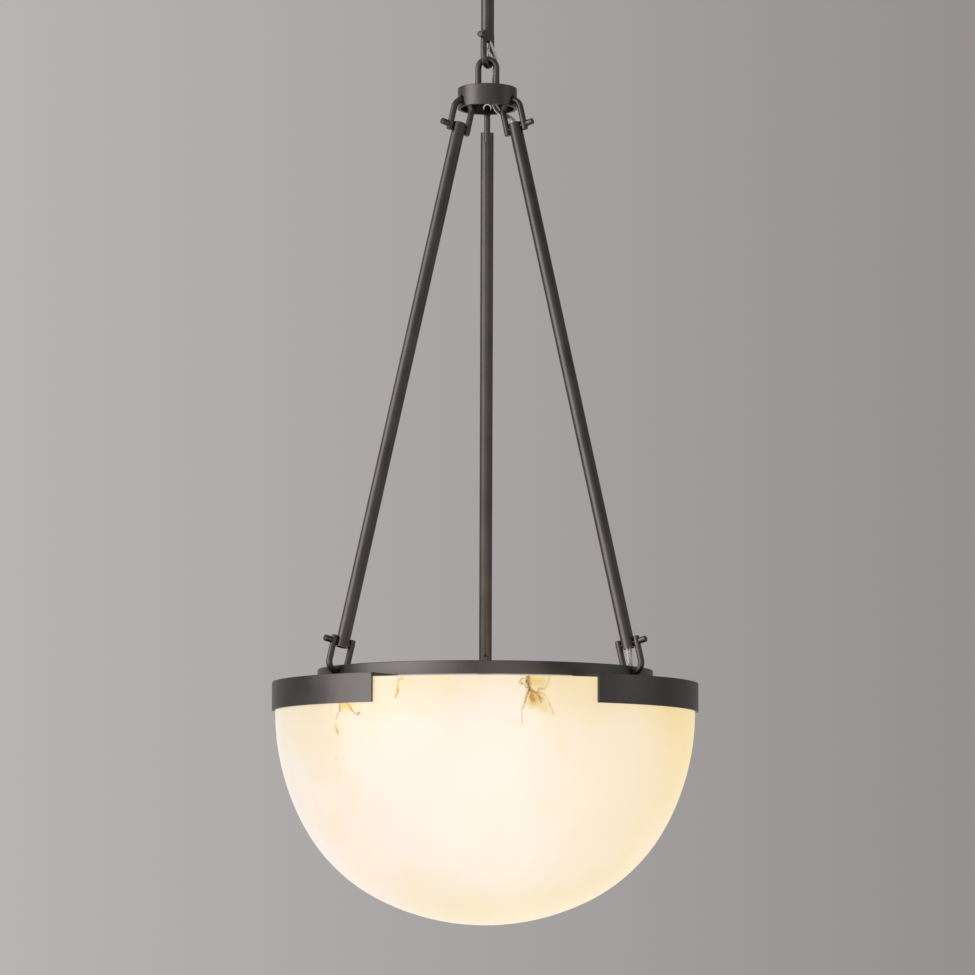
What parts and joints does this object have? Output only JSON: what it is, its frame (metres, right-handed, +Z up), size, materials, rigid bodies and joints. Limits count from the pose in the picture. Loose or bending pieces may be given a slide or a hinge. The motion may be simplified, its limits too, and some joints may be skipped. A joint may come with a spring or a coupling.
{
  "type": "alabaster bowl pendant",
  "caption": "Pendant light: an alabaster bowl in a bracketed metal hoop, hung by slanted rods and pinned shackles from a small hub, a short stem and a round ceiling canopy.",
  "frame": {"origin": "centre of the ceiling plane, on the pendant's upright axis", "axes": "+Z up, +Y to the back rod, +X to the right with the back rod behind"},
  "size_m": [0.4064, 0.4031, 1.0776],
  "materials": {
    "bronze": "blackened bronze, satin",
    "steel": "zinc plated",
    "brass": "plain",
    "alabaster": "turned and polished, lit from inside",
    "rubber": "matte",
    "nylon": "matte",
    "connector": "matte",
    "lead": "clear insulation over tinned copper",
    "porcelain": "glazed",
    "bulb_glass": "frosted",
    "bulb_base": "rolled thread"
  },
  "bodies": {
    "ceiling": {"mounting_strap": "steel", "ground_screw": "brass", "canopy": "bronze", "spreader_plate": "steel", "canopy_loop": "bronze", "canopy_loop_nuts": "steel", "canopy_studs": "steel", "canopy_cap_nuts": "bronze", "canopy_bushing": "nylon", "wire_connectors": "connector", "lead_in_canopy": "lead"},
    "top_shackle": {"top_shackle": "bronze", "top_shackle_pin": "bronze", "lead_over_top_shackle": "lead"},
    "stem": {"stem": "bronze", "lead_in_stem": "lead"},
    "bottom_shackle": {"bottom_shackle": "bronze", "bottom_shackle_pin": "bronze", "lead_over_bottom_shackle": "lead"},
    "hub": {"hub_cup": "bronze", "hub_loop": "bronze", "hub_loop_nuts": "steel", "hub_bushing": "nylon", "upper_shackle_left": "bronze", "upper_shackle_right": "bronze", "upper_shackle_back": "bronze", "upper_pins": "bronze", "lead_in_hub": "lead"},
    "rod_left": {"rod_left": "bronze"},
    "rod_right": {"rod_right": "bronze", "lead_in_rod": "lead"},
    "rod_back": {"rod_back": "bronze"},
    "lower_shackle_left": {"lower_shackle_left": "bronze", "lower_pin_left": "bronze"},
    "lower_shackle_right": {"lower_shackle_right": "bronze", "lower_pin_right": "bronze"},
    "lower_shackle_back": {"lower_shackle_back": "bronze", "lower_pin_back": "bronze"},
    "bowl_frame": {"ring_hoop": "bronze", "bracket_left": "bronze", "bracket_right": "bronze", "bracket_back": "bronze", "alabaster_bowl": "alabaster", "rim_pads": "rubber", "stone_washers": "rubber", "stone_nuts": "steel", "lamp_spider": "bronze", "cluster_locknut": "steel", "cluster_body": "bronze", "cluster_cap": "bronze", "lampholder_front": "porcelain", "lampholder_right": "porcelain", "lampholder_left": "porcelain", "lead_to_cluster": "lead"},
    "bulb_front": {"bulb_glass_front": "bulb_glass", "bulb_base_front": "bulb_base"},
    "bulb_right": {"bulb_glass_right": "bulb_glass", "bulb_base_right": "bulb_base"},
    "bulb_left": {"bulb_glass_left": "bulb_glass", "bulb_base_left": "bulb_base"}
  },
  "joints": [
    {"name": "canopy_swing", "type": "hinge", "parent": "ceiling", "child": "top_shackle", "pos_m": [0, 0, -0.055], "axis": [1, 0, 0], "range_deg": [-30, 30], "deforming": ["lead_over_top_shackle"]},
    {"name": "stem_top_pin", "type": "hinge", "parent": "top_shackle", "child": "stem", "pos_m": [0, 0, -0.0765], "axis": [0.3746, 0.9272, 0], "range_deg": [-30, 30]},
    {"name": "stem_foot_pin", "type": "hinge", "parent": "stem", "child": "bottom_shackle", "pos_m": [0, 0, -0.2209], "axis": [0.3746, 0.9272, 0], "range_deg": [-20, 20], "deforming": ["lead_over_bottom_shackle"]},
    {"name": "hub_swing", "type": "hinge", "parent": "bottom_shackle", "child": "hub", "pos_m": [0, 0, -0.2424], "axis": [1, 0, 0], "range_deg": [-20, 20]},
    {"name": "bowl_twist", "type": "hinge", "parent": "hub", "child": "bowl_frame", "pos_m": [0, 0, -0.85187], "axis": [0, 0, 1], "range_deg": [-5, 5], "deforming": ["lead_to_cluster"]},
    {"name": "rod_right_lean", "type": "hinge", "parent": "hub", "child": "rod_right", "pos_m": [0.02731, -0.01577, -0.31241], "axis": [0.8414, -0.4858, 0.237], "range_deg": [-1.6, 1.6], "deforming": ["lead_in_hub"]},
    {"name": "lower_right_lean", "type": "hinge", "parent": "rod_right", "child": "lower_shackle_right", "pos_m": [0.13355, -0.07711, -0.81536], "axis": [0.8414, -0.4858, 0.237], "range_deg": [-1.6, 1.6]},
    {"name": "rod_back_lean", "type": "hinge", "parent": "hub", "child": "rod_back", "pos_m": [0, 0.03154, -0.31241], "axis": [0, 0.9715, 0.237], "range_deg": [-1.6, 1.6]},
    {"name": "lower_back_lean", "type": "hinge", "parent": "rod_back", "child": "lower_shackle_back", "pos_m": [0, 0.15421, -0.81536], "axis": [0, 0.9715, 0.237], "range_deg": [-1.6, 1.6]},
    {"name": "rod_left_lean", "type": "hinge", "parent": "hub", "child": "rod_left", "pos_m": [-0.02731, -0.01577, -0.31241], "axis": [-0.8414, -0.4858, 0.237], "range_deg": [-1.6, 1.6]},
    {"name": "lower_left_lean", "type": "hinge", "parent": "rod_left", "child": "lower_shackle_left", "pos_m": [-0.13355, -0.07711, -0.81536], "axis": [-0.8414, -0.4858, 0.237], "range_deg": [-1.6, 1.6]},
    {"name": "bulb_front_turn", "type": "hinge", "parent": "bowl_frame", "child": "bulb_front", "pos_m": [0.00473, -0.02228, -0.86987], "axis": [0.1703, -0.8013, -0.5736], "continuous": true},
    {"name": "bulb_right_turn", "type": "hinge", "parent": "bowl_frame", "child": "bulb_right", "pos_m": [0.01692, 0.01524, -0.86987], "axis": [0.6087, 0.5481, -0.5736], "continuous": true},
    {"name": "bulb_left_turn", "type": "hinge", "parent": "bowl_frame", "child": "bulb_left", "pos_m": [-0.02166, 0.00704, -0.86987], "axis": [-0.7791, 0.2531, -0.5736], "continuous": true}
  ],
  "couplings": [
    {"joint": "rod_right_lean", "follows": "bowl_twist", "ratio": 0.30616},
    {"joint": "lower_right_lean", "follows": "bowl_twist", "ratio": -0.30616},
    {"joint": "rod_back_lean", "follows": "bowl_twist", "ratio": 0.30616},
    {"joint": "lower_back_lean", "follows": "bowl_twist", "ratio": -0.30616},
    {"joint": "rod_left_lean", "follows": "bowl_twist", "ratio": 0.30616},
    {"joint": "lower_left_lean", "follows": "bowl_twist", "ratio": -0.30616}
  ]
}
